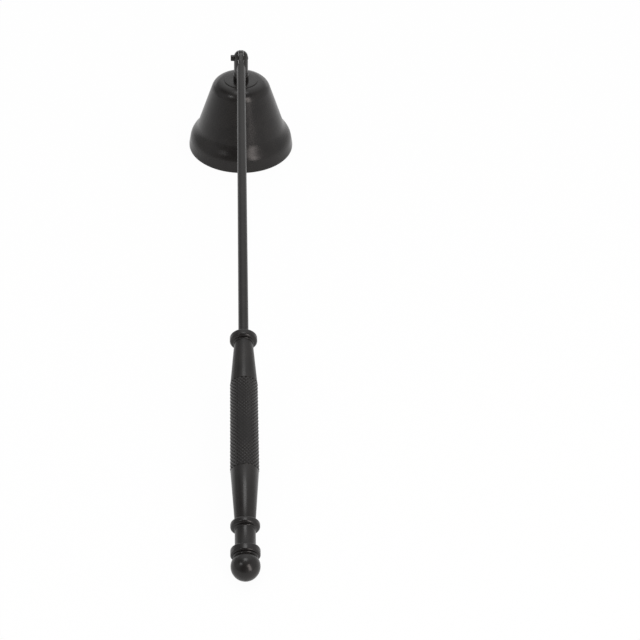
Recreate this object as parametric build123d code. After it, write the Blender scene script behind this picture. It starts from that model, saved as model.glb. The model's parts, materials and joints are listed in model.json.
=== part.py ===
from build123d import *
import math
import os

os.makedirs("parts", exist_ok=True)

# Candle snuffer in millimetres: a small bell hangs from a forked post, which hinges on the
# flattened end of a long rod. A turned handle sits on the rod's other end. The bell stands on
# its rim, the ball at the handle's end rests on the same floor, and the handle lies along -Y.
# The origin is on the floor, under the middle of the object's length.

# Bell, outside sizes from the rim up. Each draw is how far the wall leans in over a height.
rim_radius = 20.5
bell_wall = 1.0
rim_height = 0.8
lip_height = 4.5
lip_draw = 0.75
flare_height = 3.4
flare_draw = 2.6
flank_height = 20.7
flank_draw = 7.0
lip_round = 6.0
flare_round = 8.0
crown_round = 4.95
rim_bevel = 0.2

# Forked post on the crown. Depths and rises are taken from the hinge pin's axis.
pivot_rise = 9.45
post_radius = 2.68
foot_radius = 2.9
foot_height = 2.6
foot_bevel = 0.4
dome_rise = 0.45
slot_width = 2.0
slot_depth = 4.7
slot_web = 0.9

# Hinge pin: a rivet with a cheese head on -X, peened over on +X, both ends on shallow flats
pin_radius = 0.75
pin_head_radius = 1.15
pin_head_height = 1.55
pin_head_round = 0.3
peen_radius = 1.2
peen_height = 0.4
seat_depth = 0.3
seat_margin = 0.1

# Screw and washer that hold the post, from inside the bell
screw_radius = 1.45
screw_head_radius = 2.75
screw_head_height = 1.9
screw_head_round = 0.7
screw_tip_gap = 0.4
drive_width = 0.8
drive_depth = 0.9
washer_radius = 3.4
washer_height = 0.5
screw_passage = 0.15

# Rod with its flattened eye, lengths from the pin's axis
rod_radius = 1.6
eye_radius = 2.95
tang_side_gap = 0.06
tang_round = 0.35
tang_reach = 4.3
shoulder_reach = 6.2
rod_end_bevel = 0.4

# Handle, from the bead nearest the bell to the ball
collar_reach = 136.95
collar_rise = 1.35
collar_width = 2.65
neck_radius = 2.95
upper_cone_length = 15.9
lower_cone_length = 16.9
cone_radius = 4.14
grip_length = 32.1
grip_radius = 4.25
grip_bevel = 0.3
bead_rise = 1.25
upper_bead_width = 2.1
lower_bead_width = 2.5
bead_round = 0.65
spool_neck_length = 6.2
spool_cove = 0.15
ball_radius = 4.13
ball_seat_radius = 2.9

# Depths of the rod and the stud in the handle
rod_socket_depth = 16.0
stud_radius = 1.45
stud_in_grip = 10.0
stud_in_ball = 4.0
stud_bevel = 0.3

# Clearances, all radial but the blind ends, and how far a cutter runs past its work
fixed_fit = 0.05
running_fit = 0.05
blind_end_gap = 0.5
overrun = 1.0

# How much of a wall its rounding may take
end_round_share = 0.8
edge_round_share = 0.45

# Worked out from the sizes above
rim_corner = (rim_radius, rim_height)
lip_corner = (rim_radius - lip_draw, rim_height + lip_height)
waist_corner = (lip_corner[0] - flare_draw, lip_corner[1] + flare_height)
crown_height = waist_corner[1] + flank_height
crown_corner = (waist_corner[0] - flank_draw, crown_height)
pivot_height = crown_height + pivot_rise
seat_distance = post_radius - seat_depth
tang_thickness = slot_width - 2 * tang_side_gap
bead_radius = neck_radius + bead_rise
grip_start = collar_reach + collar_width
barrel_start = grip_start + upper_cone_length
barrel_end = barrel_start + grip_length
grip_end = barrel_end + lower_cone_length
upper_bead_end = grip_end + upper_bead_width
lower_bead_start = upper_bead_end + spool_neck_length
spool_end = lower_bead_start + lower_bead_width
ball_reach = spool_end + math.sqrt(ball_radius**2 - ball_seat_radius**2)
rest_slope = math.asin((pivot_height - ball_radius) / ball_reach)
handle_direction = Vector(0, -math.cos(rest_slope), -math.sin(rest_slope))
bell_offset = (ball_reach * math.cos(rest_slope) + ball_radius - rim_radius) / 2


def corner(sketch, point):
    """The sketch's vertex at a point of its own plane."""
    return sketch.vertices().sort_by_distance(point)[0]


def turned(profile):
    """The solid that a profile drawn on the XZ plane makes when it turns about Z."""
    return revolve(profile, Axis.Z)


def bore(radius, start, length):
    """A round cutter on the Z axis, from one height up."""
    on_start = (Align.CENTER, Align.CENTER, Align.MIN)
    return Pos(0, 0, start) * Cylinder(radius, length, align=on_start)


def bead_edge(rise, width):
    """Rounding of a bead's edges, no more than its rise and width can take."""
    return min(bead_round, end_round_share * rise, edge_round_share * width)


def bell():
    """Spun bell, open below, with the screw's hole through the middle of its crown."""
    with BuildSketch(Plane.XZ) as outside:
        with BuildLine():
            Polyline(
                (0, -overrun),
                (rim_radius, -overrun),
                rim_corner,
                lip_corner,
                waist_corner,
                crown_corner,
                (0, crown_height),
                close=True,
            )
        make_face()
        fillet(corner(outside, lip_corner), lip_round)
        fillet(corner(outside, waist_corner), flare_round)
        fillet(corner(outside, crown_corner), crown_round)
        mirror(about=Plane.YZ)
    with BuildSketch(Plane.XZ) as right_half:
        Rectangle(rim_radius + overrun, crown_height, align=(Align.MIN, Align.MIN))
    wall = outside.sketch - offset(outside.sketch, amount=-bell_wall)
    shell = turned(wall & right_half.sketch)
    shell = chamfer(shell.edges().group_by(Axis.Z)[0], rim_bevel)
    hole_radius = screw_radius + screw_passage
    return shell - bore(hole_radius, crown_height - bell_wall - overrun, bell_wall + 2 * overrun)


def post():
    """Post with a domed top, sawn into two ears, drilled for the pin and from below."""
    dome_height = pivot_rise + dome_rise
    with BuildSketch(Plane.XZ) as outline:
        with BuildLine():
            Polyline(
                (0, 0),
                (foot_radius, 0),
                (foot_radius, foot_height - foot_bevel),
                (post_radius, foot_height),
                (post_radius, dome_height),
            )
            CenterArc((0, dome_height), post_radius, 0, 90)
            Line((0, dome_height + post_radius), (0, 0))
        make_face()
    body = turned(outline.sketch)

    slot_floor = pivot_rise - slot_depth
    above_floor = (Align.CENTER, Align.CENTER, Align.MIN)
    slot_height = slot_depth + dome_rise + post_radius + overrun
    slot = Box(slot_width, 2 * (foot_radius + overrun), slot_height, align=above_floor)
    body -= Pos(0, 0, slot_floor) * slot

    across = Pos(0, 0, pivot_rise) * Rot(0, 90, 0)
    reach = foot_radius + overrun
    body -= across * bore(pin_radius + fixed_fit, -reach, 2 * reach)
    body -= across * bore(peen_radius + seat_margin, seat_distance, overrun)
    body -= across * bore(pin_head_radius + seat_margin, -seat_distance - overrun, overrun)

    thread_depth = slot_floor - slot_web
    body -= bore(screw_radius + fixed_fit, -overrun, thread_depth + overrun)
    return Pos(0, 0, crown_height) * body


def hinge_pin():
    """Rivet along X through both ears and the rod's eye."""
    head_top = -seat_distance - pin_head_height
    peen_top = seat_distance + peen_height
    peen_dome_radius = (peen_radius**2 + peen_height**2) / (2 * peen_height)
    with BuildSketch(Plane.XZ) as outline:
        with BuildLine():
            Polyline(
                (0, head_top),
                (pin_head_radius, head_top),
                (pin_head_radius, -seat_distance),
                (pin_radius, -seat_distance),
                (pin_radius, seat_distance),
                (peen_radius, seat_distance),
            )
            RadiusArc((peen_radius, seat_distance), (0, peen_top), -peen_dome_radius)
            Line((0, peen_top), (0, head_top))
        make_face()
        fillet(corner(outline, (pin_head_radius, head_top)), pin_head_round)
    return Pos(0, 0, pivot_height) * Rot(0, 90, 0) * turned(outline.sketch)


def crown_washer():
    """Flat washer under the crown."""
    underside = crown_height - bell_wall - washer_height
    disc = bore(washer_radius, underside, washer_height)
    return disc - bore(screw_radius + screw_passage, underside - overrun, washer_height + 2 * overrun)


def crown_screw():
    """Slotted screw that runs up through the washer and the crown into the post."""
    head_top = crown_height - bell_wall - washer_height
    head_bottom = head_top - screw_head_height
    tip = crown_height + pivot_rise - slot_depth - slot_web - screw_tip_gap
    with BuildSketch(Plane.XZ) as outline:
        with BuildLine():
            Polyline(
                (0, head_bottom),
                (screw_head_radius, head_bottom),
                (screw_head_radius, head_top),
                (screw_radius, head_top),
                (screw_radius, tip),
                (0, tip),
                close=True,
            )
        make_face()
        fillet(corner(outline, (screw_head_radius, head_bottom)), screw_head_round)
    drive = Box(2 * (screw_head_radius + overrun), drive_width, 2 * drive_depth)
    return turned(outline.sketch) - Pos(0, 0, head_bottom) * drive


def rod():
    """Round rod along Z, its start cut to a flat tang with a rounded eye for the pin."""
    length = grip_start + rod_socket_depth
    bar = bore(rod_radius, 0, length)
    bar = chamfer(bar.edges().group_by(Axis.Z)[-1], rod_end_bevel)

    half_tang = tang_thickness / 2
    shoulder_run = shoulder_reach - tang_reach
    shoulder_step = rod_radius - half_tang
    shoulder_radius = (shoulder_run**2 + shoulder_step**2) / (2 * shoulder_step)
    outside = rod_radius + overrun
    with BuildSketch(Plane.XZ) as cheek:
        with BuildLine():
            Line((half_tang, -overrun), (half_tang, tang_reach))
            RadiusArc((half_tang, tang_reach), (rod_radius, shoulder_reach), shoulder_radius)
            Polyline(
                (rod_radius, shoulder_reach),
                (outside, shoulder_reach),
                (outside, -overrun),
                (half_tang, -overrun),
            )
        make_face()
        mirror(about=Plane.YZ)
    bar -= extrude(cheek.sketch, amount=rod_radius + overrun, both=True)

    web_half_height = math.sqrt(rod_radius**2 - half_tang**2)
    with BuildSketch(Plane.YZ) as eye:
        with BuildLine():
            CenterArc((0, 0), eye_radius, 0, 360)
            Line((-web_half_height, tang_reach), (web_half_height, tang_reach))
        make_hull()
    flat = extrude(eye.sketch, amount=half_tang, both=True)
    rim = flat.faces().filter_by(Axis.X).edges().group_by(Axis.Z)[:-1]
    flat = fillet([edge for group in rim for edge in group], tang_round)
    pin_hole = Rot(0, 90, 0) * bore(pin_radius + running_fit, -outside, 2 * outside)
    return bar + flat - pin_hole


def collar():
    """Bead on the rod against the handle's upper end."""
    collar_radius = neck_radius + collar_rise
    with BuildSketch(Plane.XZ) as outline:
        with Locations((0, collar_reach)):
            Rectangle(collar_radius, collar_width, align=(Align.MIN, Align.MIN))
        for height in (collar_reach, grip_start):
            edge = corner(outline, (collar_radius, height))
            fillet(edge, bead_edge(collar_rise, collar_width))
    hole = bore(rod_radius + fixed_fit, collar_reach - overrun, collar_width + 2 * overrun)
    return turned(outline.sketch) - hole


def grip():
    """Barrel standing proud between two cones, bored for the rod above and the stud below."""
    with BuildSketch(Plane.XZ) as outline:
        with BuildLine():
            Polyline(
                (0, grip_start),
                (neck_radius, grip_start),
                (cone_radius, barrel_start),
                (grip_radius, barrel_start + grip_bevel),
                (grip_radius, barrel_end - grip_bevel),
                (cone_radius, barrel_end),
                (neck_radius, grip_end),
                (0, grip_end),
                close=True,
            )
        make_face()
    body = turned(outline.sketch)
    socket_depth = rod_socket_depth + blind_end_gap
    stud_depth = stud_in_grip + blind_end_gap
    body -= bore(rod_radius + fixed_fit, grip_start - overrun, socket_depth + overrun)
    body -= bore(stud_radius + fixed_fit, grip_end - stud_depth, stud_depth + overrun)
    return body


def end_spool():
    """Two beads with a neck between them, turned in one piece."""
    bead_ends = (grip_end, upper_bead_end, lower_bead_start, spool_end)
    bead_widths = (upper_bead_width, upper_bead_width, lower_bead_width, lower_bead_width)
    with BuildSketch(Plane.XZ) as outline:
        with BuildLine():
            Polyline(
                (0, grip_end),
                (bead_radius, grip_end),
                (bead_radius, upper_bead_end),
                (neck_radius, upper_bead_end),
                (neck_radius, lower_bead_start),
                (bead_radius, lower_bead_start),
                (bead_radius, spool_end),
                (0, spool_end),
                close=True,
            )
        make_face()
        for height, width in zip(bead_ends, bead_widths):
            fillet(corner(outline, (bead_radius, height)), bead_edge(bead_rise, width))
        for height in (upper_bead_end, lower_bead_start):
            fillet(corner(outline, (neck_radius, height)), spool_cove)
    hole = bore(stud_radius + fixed_fit, grip_end - overrun, spool_end - grip_end + 2 * overrun)
    return turned(outline.sketch) - hole


def ball_end():
    """Ball with a flat that seats on the spool, tapped for the stud."""
    seat_angle = math.degrees(math.acos(ball_seat_radius / ball_radius))
    with BuildSketch(Plane.XZ) as outline:
        with BuildLine():
            CenterArc((0, ball_reach), ball_radius, -seat_angle, 90 + seat_angle)
            Polyline(
                (0, ball_reach + ball_radius),
                (0, spool_end),
                (ball_seat_radius, spool_end),
            )
        make_face()
    depth = stud_in_ball + blind_end_gap
    return turned(outline.sketch) - bore(stud_radius + fixed_fit, spool_end - overrun, depth + overrun)


def end_stud():
    """Stud that draws the spool and the ball up against the grip."""
    start = grip_end - stud_in_grip
    stud = bore(stud_radius, start, spool_end + stud_in_ball - start)
    ends = stud.edges().filter_by(GeomType.CIRCLE)
    return chamfer(ends, stud_bevel)


def place_and_save(sub_parts, place):
    """Write each sub-part, moved to its place, as a STEP file of its own name."""
    for name, make in sub_parts.items():
        export_step(place * make(), f"parts/{name}.step")


bell_side = {
    "bell": bell,
    "post": post,
    "hinge_pin": hinge_pin,
    "crown_washer": crown_washer,
    "crown_screw": crown_screw,
}
handle_side = {
    "rod": rod,
    "collar": collar,
    "grip": grip,
    "end_spool": end_spool,
    "end_stud": end_stud,
    "ball_end": ball_end,
}

# The handle's pieces are drawn along Z from the pin's axis and laid along the resting rod.
bell_place = Pos(0, bell_offset, 0)
rod_plane = Plane(origin=(0, 0, pivot_height), x_dir=(1, 0, 0), z_dir=handle_direction)
place_and_save(bell_side, bell_place)
place_and_save(handle_side, bell_place * Location(rod_plane))

print(f"pin axis at y {bell_offset:.3f}, z {pivot_height:.3f}; rod slopes {math.degrees(rest_slope):.3f} degrees")
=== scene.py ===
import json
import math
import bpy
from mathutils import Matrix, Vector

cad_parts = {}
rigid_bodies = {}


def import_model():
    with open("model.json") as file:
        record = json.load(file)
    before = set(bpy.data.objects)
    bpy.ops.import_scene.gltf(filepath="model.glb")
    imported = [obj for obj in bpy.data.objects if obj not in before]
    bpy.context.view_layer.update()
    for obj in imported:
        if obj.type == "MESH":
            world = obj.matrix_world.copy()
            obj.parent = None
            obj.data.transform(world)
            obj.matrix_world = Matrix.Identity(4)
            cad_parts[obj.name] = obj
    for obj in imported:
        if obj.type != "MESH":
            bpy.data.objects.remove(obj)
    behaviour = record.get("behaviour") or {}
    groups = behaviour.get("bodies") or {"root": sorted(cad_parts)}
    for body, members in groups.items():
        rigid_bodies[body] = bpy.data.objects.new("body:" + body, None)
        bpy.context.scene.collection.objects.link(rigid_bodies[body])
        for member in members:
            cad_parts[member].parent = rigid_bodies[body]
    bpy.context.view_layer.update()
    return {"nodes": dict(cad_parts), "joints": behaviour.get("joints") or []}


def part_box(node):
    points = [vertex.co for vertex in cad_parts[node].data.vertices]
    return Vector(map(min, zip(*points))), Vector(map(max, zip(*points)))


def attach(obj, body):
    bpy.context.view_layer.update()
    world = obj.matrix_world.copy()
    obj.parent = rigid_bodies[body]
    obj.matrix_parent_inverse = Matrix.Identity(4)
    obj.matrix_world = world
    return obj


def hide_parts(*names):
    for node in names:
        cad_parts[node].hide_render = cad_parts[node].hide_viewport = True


bl_info = {
    "name": "Candle snuffer",
    "version": (1, 0, 0),
    "blender": (4, 5, 0),
    "location": "3D View > Sidebar > Snuffer",
    "description": "Knurls and paints a hinged candle snuffer and sets it on a white table",
    "category": "Object",
}

import bmesh
import bpy
from bpy.props import FloatProperty, FloatVectorProperty, IntProperty, PointerProperty
from mathutils import Matrix, Vector

for leftover in list(bpy.data.objects):
    bpy.data.objects.remove(leftover)

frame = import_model()

MM = 0.001
PICTURE_WIDTH_PX = 640
SENSOR_WIDTH_MM = 36.0

# Fineness of the turned shapes
TURN_STEPS = 96
ROUND_STEPS = 12
COVE_STEPS = 8
EDGE_SEGMENTS = 3
SHARP_ANGLE = math.radians(30)
SMOOTH_ANGLE = math.radians(35)
SAME_PLACE = MM / 1000

hinge = Vector(frame["joints"][0]["pos_m"])
ball_low, ball_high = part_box("ball_end")
ball_radius = (ball_high.x - ball_low.x) / 2
ball_centre = Vector((0, ball_low.y + ball_radius, ball_low.z + ball_radius))
handle_axis = (ball_centre - hinge).normalized()
ball_reach = (ball_centre - hinge).length


def along_handle(node):
    """First and last distance of a CAD node from the hinge, and its largest radius."""
    offsets = [v.co - hinge for v in frame["nodes"][node].data.vertices]
    reaches = [o.dot(handle_axis) for o in offsets]
    radii = [(o - handle_axis * r).length for o, r in zip(offsets, reaches)]
    return min(reaches), max(reaches), max(radii)


grip_start, grip_end, grip_radius = along_handle("grip")
collar_start, collar_end, collar_radius = along_handle("collar")
spool_start, spool_end, bead_radius = along_handle("end_spool")
rod_end = along_handle("rod")[1]
rod_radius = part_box("rod")[1].x
stud_radius = along_handle("end_stud")[2]


def length(label, description, default_mm):
    """A length property whose default is given in millimetres."""
    return FloatProperty(
        name=label, description=description, default=default_mm * MM, unit="LENGTH"
    )


def angle(label, description, default_degrees):
    """An angle property whose default is given in degrees."""
    return FloatProperty(
        name=label,
        description=description,
        default=math.radians(default_degrees),
        unit="ROTATION",
    )


def level(label, description, default):
    """A plain number property."""
    return FloatProperty(name=label, description=description, default=default)


def colour(label, description, default):
    """A colour property with a linear default."""
    return FloatVectorProperty(
        name=label,
        description=description,
        default=default,
        size=3,
        min=0,
        max=1,
        subtype="COLOR",
    )


class SnufferHandleSizes(bpy.types.PropertyGroup):
    upper_bead_width: length("Upper bead width", "Width of the spool's bead at the grip", 2.1)
    lower_bead_width: length("Lower bead width", "Width of the spool's bead at the ball", 2.5)
    bead_back_round: length("Bead back rounding", "Rounding of a bead towards the bell", 0.65)
    cove_radius: length("Cove radius", "Hollow where a bead's front meets what follows", 0.42)
    neck_radius: length("Neck radius", "Radius of the grip at both of its ends", 2.95)
    shoulder_radius: length("Shoulder radius", "Radius that the cones reach at the knurl", 4.14)
    knurl_start: length("Knurl start", "Distance from the hinge to the knurl", 155.6)
    knurl_end: length("Knurl end", "Distance from the hinge to the knurl's end", 187.4)
    knurl_depth: length("Knurl depth", "Height of the diamonds over their grooves", 0.16)
    flank_width: length("Flank width", "Width of each diamond's sloping sides", 0.3)
    knurl_around: IntProperty(
        name="Diamonds around", description="Diamonds in one turn", default=21, min=8, max=60
    )
    knurl_along: IntProperty(
        name="Diamonds along", description="Diamonds in one row", default=26, min=4, max=80
    )
    edge_round: length("Edge rounding", "Rounding of the turned edges", 0.06)
    bore_gap: length("Bore gap", "Gap between a bore and what it holds", 0.05)


class SnufferCrownSizes(bpy.types.PropertyGroup):
    step_radius: length("Step radius", "Radius of the raised disc round the post's foot", 6.45)
    step_height: length("Step height", "Height of the raised disc over the crown", 0.26)
    step_foot: length("Step foot", "How far the disc's foot spreads and how deep it sits", 0.1)
    step_hole: length("Step hole", "Radius of the disc's hole, inside the post's foot", 2.4)


class SnufferFinish(bpy.types.PropertyGroup):
    coat: colour("Coating", "Satin black coating", (0.0082, 0.0073, 0.0069))
    coat_worn: colour("Coating, paler", "Where the coating is thinner", (0.0138, 0.012, 0.0112))
    steel: colour("Steel", "Bare steel of the hidden stud", (0.45, 0.45, 0.46))
    gloss_low: level("Smoothest", "Roughness where the coating is smoothest", 0.2)
    gloss_high: level("Roughest", "Roughness where the coating is roughest", 0.3)
    mirror_level: level("Mirror level", "How strongly the coating mirrors head on", 0.36)
    cloud_size: length("Cloud size", "Size of the coating's broad clouds", 6)
    patch_size: length("Patch size", "Size of the coating's small patches", 1.2)
    bell_grain: length("Bell grain", "Size of the grain on the bell and its post", 0.22)
    handle_grain: length("Handle grain", "Size of the grain on the rod and handle", 0.2)
    hardware_grain: length("Hardware grain", "Size of the grain on the pin and screw", 0.15)
    grain_height: length("Grain height", "Height of the grain", 0.004)
    hardware_grain_height: length(
        "Hardware grain height", "Height of the grain on the pin and screw", 0.006
    )
    lathe_spacing: length("Lathe line spacing", "Spacing of the bell's faint lathe lines", 0.35)
    lathe_height: length("Lathe line height", "Height of the bell's faint lathe lines", 0.003)
    steel_roughness: level("Steel roughness", "Least roughness of the bare steel", 0.3)
    steel_streaks: level("Steel streaks", "How much rougher the steel's streaks are", 0.15)
    streak_size: length("Streak size", "Size of the steel's streaks", 0.4)


class SnufferStage(bpy.types.PropertyGroup):
    camera_distance: length("Camera distance", "From the middle of the bell's rim", 531.02)
    camera_aside: length("Camera aside", "Sideways from the handle's line", -2.55)
    camera_rise: angle("Camera rise", "Height angle of the camera over the table", 33.30)
    camera_pitch: angle("Camera pitch", "How far the camera looks down", 40.828)
    camera_yaw: angle("Camera yaw", "How far the camera turns to the right", 4.881)
    camera_roll: angle("Camera roll", "How far the camera leans", -2.97)
    focal_length_px: level("Focal length", "In pixels of the photograph", 1313.06)
    floor_size: length("Floor size", "Side of the table top", 6000)
    floor_white: level("Floor white", "Share of plain white in the floor as seen", 0.96)
    floor_mirrored: level("Floor mirrored", "Share of plain white in the mirrored floor", 0.38)
    room_walls: level("Room's walls", "Brightness of the room's walls", 0.64)
    room_right: level("Room's right", "How much brighter the room is on the right", 0.15)
    room_ceiling: level("Room's ceiling", "How much darker the ceiling is", 0.22)
    room_backdrop: level("Room's backdrop", "How much brighter the backdrop is", 0.68)
    room_front: level("Room's front", "How much darker it is around the camera", 0.37)
    room_corner: level("Room's corner", "How much darker the upper left corner is", 0.2)
    room_side: level("Room's side", "How much brighter the left side is", 0.18)


class Value:
    """A socket that works in Python expressions, each of which adds its Math node."""

    def __init__(self, paint, socket):
        self.paint = paint
        self.socket = socket

    def combine(self, operation, first, second):
        """A Math node on two values, of which either may be a number."""
        return self.paint.add("ShaderNodeMath", {"operation": operation}, {0: first, 1: second})

    def __add__(self, other):
        return self.combine("ADD", self, other)

    def __radd__(self, other):
        return self.combine("ADD", other, self)

    def __sub__(self, other):
        return self.combine("SUBTRACT", self, other)

    def __rsub__(self, other):
        return self.combine("SUBTRACT", other, self)

    def __mul__(self, other):
        return self.combine("MULTIPLY", self, other)

    def __rmul__(self, other):
        return self.combine("MULTIPLY", other, self)


class Paint:
    """The nodes of a material or of the world."""

    def __init__(self, owner, output="ShaderNodeOutputMaterial"):
        owner.use_nodes = True
        self.owner = owner
        self.output = output
        self.tree = owner.node_tree
        self.tree.nodes.clear()

    def add(self, kind, settings=None, inputs=None, output=0):
        """A node with its settings made first, then its sockets set or linked."""
        node = self.tree.nodes.new(kind)
        for name, setting in (settings or {}).items():
            setattr(node, name, setting)
        for name, value in (inputs or {}).items():
            if isinstance(value, Value):
                self.tree.links.new(value.socket, node.inputs[name])
            else:
                node.inputs[name].default_value = value
        return Value(self, node.outputs[output]) if node.outputs else None

    def ramp(self, source, low, high):
        """A value spread over nought to one between two limits."""
        return self.add(
            "ShaderNodeMapRange",
            {"clamp": True},
            {"Value": source, "From Min": low, "From Max": high},
        )

    def noise(self, size, detail=2.0, stretch=(1, 1, 1)):
        """Noise whose features are about one size across, stretched along the axes."""
        place = self.add("ShaderNodeTexCoord", output="Object")
        scaled = self.add("ShaderNodeMapping", None, {"Vector": place, "Scale": stretch})
        return self.add(
            "ShaderNodeTexNoise", None, {"Vector": scaled, "Scale": 1 / size, "Detail": detail}
        )

    def blend(self, share, first, second):
        """A colour between two others."""
        return self.add(
            "ShaderNodeMix",
            {"data_type": "RGBA"},
            {0: share, 6: (*first, 1), 7: (*second, 1)},
            output=2,
        )

    def towards(self, direction, aim, wide, narrow):
        """Nought at a wide angle from the aim, in degrees, rising to one at a narrow angle."""
        nearness = self.add(
            "ShaderNodeVectorMath", {"operation": "DOT_PRODUCT"}, {0: direction, 1: aim}, "Value"
        )
        return self.ramp(nearness, math.cos(math.radians(wide)), math.cos(math.radians(narrow)))

    def finish(self, shader):
        """The material or world, with this shader on its surface."""
        self.add(self.output, None, {"Surface": shader})
        return self.owner


# Limits between which a noise is spread out, and how much the clouds count beside the patches
cloud_limits = (0.35, 0.65)
patch_limits = (0.3, 0.7)
cloud_share_in_gloss = 0.6
cloud_share_in_colour = 0.7
lathe_stretch = (0.02, 0.02, 1)


def satin_black(name, grain_size, grain_height, lathe_height=0.0):
    """Satin black coating: clouded colour and gloss, fine grain and faint lathe lines."""
    finish = bpy.context.scene.snuffer_finish
    paint = Paint(bpy.data.materials.new(name))
    cloud = paint.ramp(paint.noise(finish.cloud_size, detail=3.0), *cloud_limits)
    patch = paint.ramp(paint.noise(finish.patch_size), *patch_limits)
    height = paint.noise(grain_size, detail=3.0) * grain_height
    if lathe_height:
        lines = paint.noise(finish.lathe_spacing, detail=1.0, stretch=lathe_stretch)
        height = height + lines * lathe_height

    def mixed(cloud_share):
        return cloud * cloud_share + patch * (1 - cloud_share)

    gloss_range = finish.gloss_high - finish.gloss_low
    colour_mix = paint.blend(mixed(cloud_share_in_colour), finish.coat, finish.coat_worn)
    bump = paint.add(
        "ShaderNodeBump", None, {"Height": height, "Strength": 1.0, "Distance": 1.0}
    )
    return paint.finish(
        paint.add(
            "ShaderNodeBsdfPrincipled",
            None,
            {
                "Base Color": colour_mix,
                "Roughness": finish.gloss_low + mixed(cloud_share_in_gloss) * gloss_range,
                "Specular IOR Level": finish.mirror_level,
                "Normal": bump,
            },
        )
    )


def plain_steel(name):
    """Bare drawn steel, for the stud that nothing shows."""
    finish = bpy.context.scene.snuffer_finish
    paint = Paint(bpy.data.materials.new(name))
    roughness = finish.steel_roughness + paint.noise(finish.streak_size) * finish.steel_streaks
    return paint.finish(
        paint.add(
            "ShaderNodeBsdfPrincipled",
            None,
            {"Base Color": (*finish.steel, 1), "Metallic": 1.0, "Roughness": roughness},
        )
    )


def cover(piece, material):
    """Give a piece one material."""
    piece.data.materials.clear()
    piece.data.materials.append(material)


def cover_nodes(nodes, material):
    """Give CAD nodes one material."""
    for node in nodes:
        cover(frame["nodes"][node], material)


def select_only(thing):
    """Select one object and make it the active one."""
    bpy.ops.object.select_all(action="DESELECT")
    thing.select_set(True)
    bpy.context.view_layer.objects.active = thing


def select_parts(thing, kind, wanted):
    """Select only the vertices, edges or faces of the mesh in edit mode that are wanted."""
    bpy.ops.mesh.select_mode(type=kind)
    bpy.ops.mesh.select_all(action="DESELECT")
    mesh = bmesh.from_edit_mesh(thing.data)
    parts = {"VERT": mesh.verts, "EDGE": mesh.edges, "FACE": mesh.faces}[kind]
    for part in parts:
        if wanted(part):
            part.select_set(True)
    bmesh.update_edit_mesh(thing.data)


def quarter_turns(steps):
    """Sines and cosines of the angles from nought to a quarter turn."""
    turns = [math.pi / 2 * step / steps for step in range(steps + 1)]
    return [(math.sin(turn), math.cos(turn)) for turn in turns]


def bead_outline(radius, start, end, foot_radius, sizes):
    """Outline of a bead, whose front rounds over down to a cove on the foot's radius."""
    back = sizes.bead_back_round
    front = radius - foot_radius - sizes.cove_radius
    steps = quarter_turns(ROUND_STEPS)
    return [
        *((radius - back * (1 - sine), start + back * (1 - cosine)) for sine, cosine in steps),
        *((radius - front * (1 - cosine), end - front * (1 - sine)) for sine, cosine in steps),
    ]


def cove_outline(foot_radius, start, sizes):
    """Outline of the cove that runs from a bead's front face onto what it stands on."""
    cove = sizes.cove_radius
    return [
        (foot_radius + cove * (1 - sine), start + cove * (1 - cosine))
        for sine, cosine in quarter_turns(COVE_STEPS)
    ]


def ball_section(reach):
    """Radius of the ball's section at a distance from the hinge."""
    return math.sqrt(ball_radius**2 - (ball_reach - reach) ** 2)


def bores(sizes):
    """Radii of the rod's bore and the stud's bore."""
    return rod_radius + sizes.bore_gap, stud_radius + sizes.bore_gap


def turn_profile(name, outline):
    """A closed ring turned about Z from an outline of (radius, height) points."""
    bpy.ops.object.select_all(action="DESELECT")
    bpy.ops.mesh.primitive_plane_add(size=MM)
    piece = bpy.context.object
    piece.name = name
    bpy.ops.object.mode_set(mode="EDIT")
    bpy.ops.mesh.merge(type="CENTER")
    first = Vector((outline[0][0], 0, outline[0][1]))
    bpy.ops.transform.translate(value=first)
    for (radius, height), (next_radius, next_height) in zip(outline, outline[1:]):
        step = (next_radius - radius, 0, next_height - height)
        bpy.ops.mesh.extrude_vertices_move(TRANSFORM_OT_translate={"value": step})
    last = Vector((outline[-1][0], 0, outline[-1][1]))
    select_parts(
        piece, "VERT", lambda v: min((v.co - first).length, (v.co - last).length) < SAME_PLACE
    )
    bpy.ops.mesh.edge_face_add()
    bpy.ops.mesh.select_all(action="SELECT")
    bpy.ops.mesh.spin(steps=TURN_STEPS, angle=math.tau, center=(0, 0, 0), axis=(0, 0, 1))
    bpy.ops.mesh.select_all(action="SELECT")
    bpy.ops.mesh.remove_doubles(threshold=SAME_PLACE)
    bpy.ops.mesh.normals_make_consistent(inside=False)
    bpy.ops.object.mode_set(mode="OBJECT")
    return piece


def round_edges(piece, width):
    """Round the piece's sharp edges."""
    select_only(piece)
    bevel = piece.modifiers.new("Edges", "BEVEL")
    bevel.width = width
    bevel.segments = EDGE_SEGMENTS
    bevel.limit_method = "ANGLE"
    bevel.angle_limit = SHARP_ANGLE
    bpy.ops.object.modifier_apply(modifier=bevel.name)
    bpy.ops.object.shade_smooth_by_angle(angle=SMOOTH_ANGLE)


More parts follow.
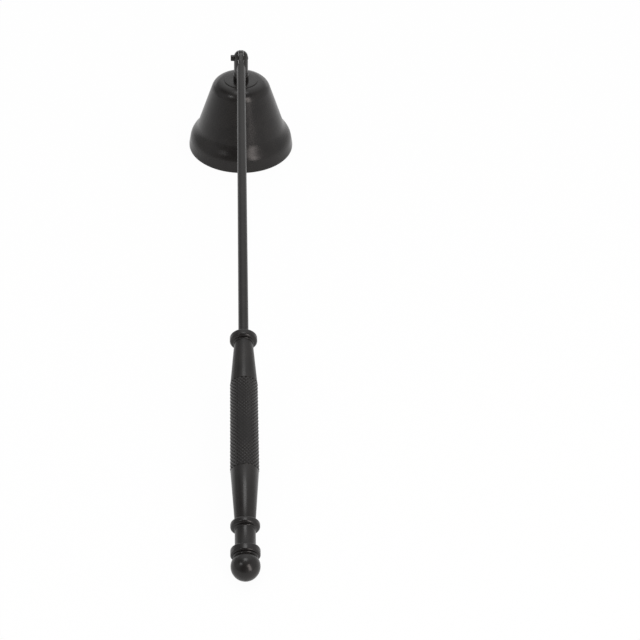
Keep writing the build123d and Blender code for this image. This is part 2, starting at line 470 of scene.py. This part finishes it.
def knurl_sleeve(sizes):
    """Sleeve of raised diamonds about Z, between the knurl's two ends."""
    rows = sizes.knurl_along
    pitch = (sizes.knurl_end - sizes.knurl_start) / rows
    groove_radius = grip_radius - sizes.knurl_depth
    bpy.ops.object.select_all(action="DESELECT")
    bpy.ops.mesh.primitive_circle_add(
        vertices=sizes.knurl_around, radius=groove_radius, location=(0, 0, sizes.knurl_start)
    )
    bpy.ops.object.transform_apply(location=True, rotation=False, scale=False)
    sleeve = bpy.context.object
    sleeve.name = "knurl_sleeve"
    bpy.ops.object.mode_set(mode="EDIT")
    bpy.ops.mesh.select_all(action="SELECT")
    for _ in range(rows):
        bpy.ops.mesh.extrude_edges_move(TRANSFORM_OT_translate={"value": (0, 0, pitch)})
    bpy.ops.mesh.select_all(action="SELECT")
    bpy.ops.mesh.normals_make_consistent(inside=False)
    bpy.ops.mesh.poke()

    # A vertex counts as on a ring, or at an end, within these shares of the pitch
    ring_share = 0.1
    end_share = 0.25

    def on_ring(vertex):
        steps = (vertex.co.z - sizes.knurl_start) / pitch
        return abs(steps - round(steps)) < ring_share

    def at_an_end(vertex):
        reach = min(vertex.co.z - sizes.knurl_start, sizes.knurl_end - vertex.co.z)
        return reach < pitch * end_share

    select_parts(sleeve, "VERT", lambda v: not on_ring(v))
    outward = 1 / math.cos(math.pi / sizes.knurl_around)
    bpy.ops.transform.resize(value=(outward, outward, 1), center_override=(0, 0, 0))
    select_parts(
        sleeve,
        "EDGE",
        lambda e: all(on_ring(v) for v in e.verts) and not all(at_an_end(v) for v in e.verts),
    )
    bpy.ops.mesh.dissolve_edges(use_verts=False)
    select_parts(sleeve, "FACE", lambda face: True)
    bpy.ops.mesh.inset(
        thickness=sizes.flank_width,
        depth=sizes.knurl_depth,
        use_individual=True,
        use_even_offset=True,
    )
    select_parts(sleeve, "EDGE", lambda e: e.is_boundary)
    bpy.ops.mesh.bridge_edge_loops()
    bpy.ops.object.mode_set(mode="OBJECT")
    return sleeve


def lay_on_handle(piece):
    """Turn a piece drawn up Z from the hinge onto the handle, and fix its place."""
    across = Vector((1, 0, 0))
    turn = Matrix((across, handle_axis.cross(across), handle_axis)).transposed()
    piece.matrix_world = Matrix.Translation(hinge) @ turn.to_4x4()
    select_only(piece)
    bpy.ops.object.transform_apply(location=True, rotation=True, scale=True)


class SNUFFER_OT_bell_head(bpy.types.Operator):
    """Raise the disc on the bell's crown, and paint the bell, post, pin, screw and washer"""

    bl_idname = "snuffer.bell_head"
    bl_label = "Bell head"

    def execute(self, context):
        sizes = context.scene.snuffer_crown
        crown_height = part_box("bell")[1].z
        step_top = crown_height + sizes.step_height
        step_bottom = crown_height - sizes.step_foot
        step = turn_profile(
            "crown_step",
            [
                (sizes.step_hole, step_bottom),
                (sizes.step_radius + sizes.step_foot, step_bottom),
                (sizes.step_radius, crown_height + sizes.step_foot),
                (sizes.step_radius, step_top),
                (sizes.step_hole, step_top),
            ],
        )
        round_edges(step, sizes.step_foot / 2)
        step.location.y = hinge.y
        bpy.ops.object.transform_apply(location=True, rotation=False, scale=False)
        finish = context.scene.snuffer_finish
        coating = satin_black(
            "Bell coating", finish.bell_grain, finish.grain_height, finish.lathe_height
        )
        cover(step, coating)
        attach(step, "bell_head")
        cover_nodes(["bell"], coating)
        cover_nodes(["post"], satin_black("Post coating", finish.bell_grain, finish.grain_height))
        cover_nodes(
            ["hinge_pin", "crown_screw", "crown_washer"],
            satin_black("Hardware coating", finish.hardware_grain, finish.hardware_grain_height),
        )
        return {"FINISHED"}


def handle_coating(name):
    """Satin black coating with the grain of the rod and the handle."""
    finish = bpy.context.scene.snuffer_finish
    return satin_black(name, finish.handle_grain, finish.grain_height)


class SNUFFER_OT_rod(bpy.types.Operator):
    """Paint the long rod"""

    bl_idname = "snuffer.rod"
    bl_label = "Rod"

    def execute(self, context):
        cover_nodes(["rod"], handle_coating("Rod coating"))
        return {"FINISHED"}


def put_on_handle(piece, node, material):
    """Finish a piece that is drawn up Z, and let it stand for a CAD node of the handle."""
    lay_on_handle(piece)
    cover(piece, material)
    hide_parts(node)
    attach(piece, "handle")


class SNUFFER_OT_turned_ends(bpy.types.Operator):
    """Turn the handle's collar and spool, and paint them, the ball and the hidden stud"""

    bl_idname = "snuffer.turned_ends"
    bl_label = "Turned ends"

    def execute(self, context):
        sizes = context.scene.snuffer_handle
        coating = handle_coating("Handle coating")
        rod_bore, stud_bore = bores(sizes)
        neck = sizes.neck_radius
        upper_end = spool_start + sizes.upper_bead_width
        lower_start = spool_end - sizes.lower_bead_width
        foot = ball_section(spool_end + sizes.cove_radius)
        collar = turn_profile(
            "turned_collar",
            [
                (rod_bore, collar_start),
                *bead_outline(collar_radius, collar_start, collar_end, neck, sizes),
                (rod_bore, collar_end),
            ],
        )
        spool = turn_profile(
            "turned_spool",
            [
                (stud_bore, spool_start),
                *bead_outline(bead_radius, spool_start, upper_end, neck, sizes),
                *cove_outline(neck, upper_end, sizes)[1:],
                (neck, lower_start),
                *bead_outline(bead_radius, lower_start, spool_end, foot, sizes),
                *cove_outline(foot, spool_end, sizes)[1:],
                (ball_section(spool_end), spool_end),
                (stud_bore, spool_end),
            ],
        )
        for piece, node in ((collar, "collar"), (spool, "end_spool")):
            round_edges(piece, sizes.edge_round)
            put_on_handle(piece, node, coating)
        cover_nodes(["ball_end"], coating)
        cover_nodes(["end_stud"], plain_steel("Stud steel"))
        return {"FINISHED"}


class SNUFFER_OT_grip(bpy.types.Operator):
    """Turn the grip's cones and roll its diamond knurl"""

    bl_idname = "snuffer.grip"
    bl_label = "Knurled grip"

    def execute(self, context):
        sizes = context.scene.snuffer_handle
        rod_bore, stud_bore = bores(sizes)
        core = grip_radius - 2 * sizes.knurl_depth
        outline = [
            (rod_bore, grip_start),
            *cove_outline(sizes.neck_radius, grip_start, sizes),
            (sizes.shoulder_radius, sizes.knurl_start),
            (core, sizes.knurl_start),
            (core, sizes.knurl_end),
            (sizes.shoulder_radius, sizes.knurl_end),
            (sizes.neck_radius, grip_end),
            (stud_bore, grip_end),
            (stud_bore, rod_end),
            (rod_bore, rod_end),
        ]
        grip = turn_profile("knurled_grip", outline)
        round_edges(grip, sizes.edge_round)
        sleeve = knurl_sleeve(sizes)
        select_only(grip)
        sleeve.select_set(True)
        bpy.ops.object.join()
        put_on_handle(grip, "grip", handle_coating("Knurl coating"))
        return {"FINISHED"}


def area_lamp(name, place, size, power, tint):
    """A rectangular soft lamp that looks at the lamps' aim."""
    data = bpy.data.lights.new(name, "AREA")
    data.shape = "RECTANGLE"
    data.size, data.size_y = size
    data.energy = power
    data.color = tint
    lamp = bpy.data.objects.new(name, data)
    bpy.context.scene.collection.objects.link(lamp)
    lamp.location = place
    view = Vector(lamp_aim) - Vector(place)
    lamp.rotation_euler = view.to_track_quat("-Z", "Y").to_euler()


# Each lamp's name, place and size in metres, power in watts and tint. All aim at one point.
neutral = (1, 1, 1)
warm = (1, 0.91, 0.88)
soft_lamps = (
    ("Key lamp", (0.32, -0.51, 0.375), (0.2, 0.55), 1.7, warm),
    ("Left lamp", (-0.4, -0.26, 0.56), (0.16, 0.16), 0.4, neutral),
    ("Top lamp", (0, 0.13, 0.9), (0.36, 0.3), 1.2, neutral),
    ("Backdrop lamp", (0, 1.3, 0.24), (2.4, 0.4), 2.0, neutral),
)
lamp_aim = (0, 0, 0.02)

# The room's patches: the direction of each, and the angles in degrees from it at which the
# patch starts and is full. The ceiling's two numbers are the upward parts of a direction, of
# length one, at which it starts and is full.
backdrop_patch = ((0.05, 0.53, 0.85), 43, 12)
front_patch = ((-0.27, -0.82, 0.5), 38, 16)
corner_patch = ((-0.65, 0.17, 0.74), 24, 8)
side_patch = ((-0.91, -0.16, 0.38), 24, 8)
ceiling_edge = (0.6, 0.85)

# The table top as it is lit, and the plain white that it shows to the camera
pure_white = (1, 1, 1, 1)
matt_white = (0.9, 0.9, 0.9, 1)
matt_roughness = 0.9


def white_floor(stage):
    """White table top that keeps a soft shadow and shows white in reflections."""
    bpy.ops.object.select_all(action="DESELECT")
    bpy.ops.mesh.primitive_plane_add(size=stage.floor_size)
    floor = bpy.context.object
    floor.name = "floor"
    paint = Paint(bpy.data.materials.new("White table"))
    seen = paint.add("ShaderNodeLightPath", output="Is Camera Ray")
    glossy = paint.add("ShaderNodeLightPath", output="Is Glossy Ray")
    matt = paint.add(
        "ShaderNodeBsdfPrincipled", None, {"Base Color": matt_white, "Roughness": matt_roughness}
    )
    white = paint.add("ShaderNodeEmission", None, {"Color": pure_white, "Strength": 1.0})
    shown = seen * stage.floor_white + glossy * stage.floor_mirrored
    table_top = paint.add("ShaderNodeMixShader", None, {0: shown, 1: matt, 2: white})
    cover(floor, paint.finish(table_top))


def studio_room(stage):
    """Surroundings: pale walls with brighter and darker patches, and white to the camera."""
    paint = Paint(bpy.data.worlds.new("Studio room"), "ShaderNodeOutputWorld")
    direction = paint.add("ShaderNodeTexCoord", output="Generated")
    sideways = paint.add("ShaderNodeSeparateXYZ", None, {"Vector": direction}, "X")
    upward = paint.add("ShaderNodeSeparateXYZ", None, {"Vector": direction}, "Z")
    room = (
        sideways * stage.room_right
        + stage.room_walls
        - paint.ramp(upward, *ceiling_edge) * stage.room_ceiling
        + paint.towards(direction, *backdrop_patch) * stage.room_backdrop
        - paint.towards(direction, *front_patch) * stage.room_front
        - paint.towards(direction, *corner_patch) * stage.room_corner
        + paint.towards(direction, *side_patch) * stage.room_side
    )
    seen = paint.add("ShaderNodeLightPath", output="Is Camera Ray")
    strength = seen * stage.floor_white + (1 - seen) * room
    bpy.context.scene.world = paint.finish(
        paint.add("ShaderNodeBackground", None, {"Color": pure_white, "Strength": strength})
    )


def photo_camera(stage):
    """Camera at the photograph's place, which is measured from the bell's rim."""
    data = bpy.data.cameras.new("Photo camera")
    data.lens = stage.focal_length_px / PICTURE_WIDTH_PX * SENSOR_WIDTH_MM
    data.sensor_width = SENSOR_WIDTH_MM
    camera = bpy.data.objects.new("Photo camera", data)
    bpy.context.scene.collection.objects.link(camera)
    bell_middle = Vector((0, hinge.y, 0))
    nearer = -stage.camera_distance * math.cos(stage.camera_rise)
    higher = stage.camera_distance * math.sin(stage.camera_rise)
    place = bell_middle + Vector((stage.camera_aside, nearer, higher))
    forward = Vector(
        (
            math.sin(stage.camera_yaw) * math.cos(stage.camera_pitch),
            math.cos(stage.camera_yaw) * math.cos(stage.camera_pitch),
            -math.sin(stage.camera_pitch),
        )
    )
    right = Vector((math.cos(stage.camera_yaw), -math.sin(stage.camera_yaw), 0))
    down = forward.cross(right)
    lean_right = right * math.cos(stage.camera_roll) + down * math.sin(stage.camera_roll)
    lean_down = down * math.cos(stage.camera_roll) - right * math.sin(stage.camera_roll)
    turn = Matrix((lean_right, -lean_down, -forward)).transposed()
    camera.matrix_world = Matrix.Translation(place) @ turn.to_4x4()
    bpy.context.scene.camera = camera


class SNUFFER_OT_stage(bpy.types.Operator):
    """Set the white table, the soft lamps and the camera"""

    bl_idname = "snuffer.stage"
    bl_label = "Stage"

    def execute(self, context):
        stage = context.scene.snuffer_stage
        white_floor(stage)
        studio_room(stage)
        for name, place, size, power, tint in soft_lamps:
            area_lamp(name, place, size, power, tint)
        photo_camera(stage)
        context.scene.view_settings.view_transform = "Standard"
        return {"FINISHED"}


class SNUFFER_PT_panel(bpy.types.Panel):
    """Buttons that build the snuffer"""

    bl_idname = "SNUFFER_PT_panel"
    bl_label = "Candle snuffer"
    bl_space_type = "VIEW_3D"
    bl_region_type = "UI"
    bl_category = "Snuffer"

    def draw(self, context):
        for operator in operators:
            self.layout.operator(operator.bl_idname)


groups = {
    "snuffer_crown": SnufferCrownSizes,
    "snuffer_handle": SnufferHandleSizes,
    "snuffer_finish": SnufferFinish,
    "snuffer_stage": SnufferStage,
}
operators = (
    SNUFFER_OT_bell_head,
    SNUFFER_OT_rod,
    SNUFFER_OT_turned_ends,
    SNUFFER_OT_grip,
    SNUFFER_OT_stage,
)


def register():
    for name, group in groups.items():
        bpy.utils.register_class(group)
        setattr(bpy.types.Scene, name, PointerProperty(type=group))
    for item in (*operators, SNUFFER_PT_panel):
        bpy.utils.register_class(item)


def unregister():
    for item in reversed((*operators, SNUFFER_PT_panel)):
        bpy.utils.unregister_class(item)
    for name, group in groups.items():
        delattr(bpy.types.Scene, name)
        bpy.utils.unregister_class(group)


def main():
    register()
    bpy.ops.snuffer.bell_head()
    bpy.ops.snuffer.rod()
    bpy.ops.snuffer.turned_ends()
    bpy.ops.snuffer.grip()
    bpy.ops.snuffer.stage()


if __name__ == "__main__":
    main()
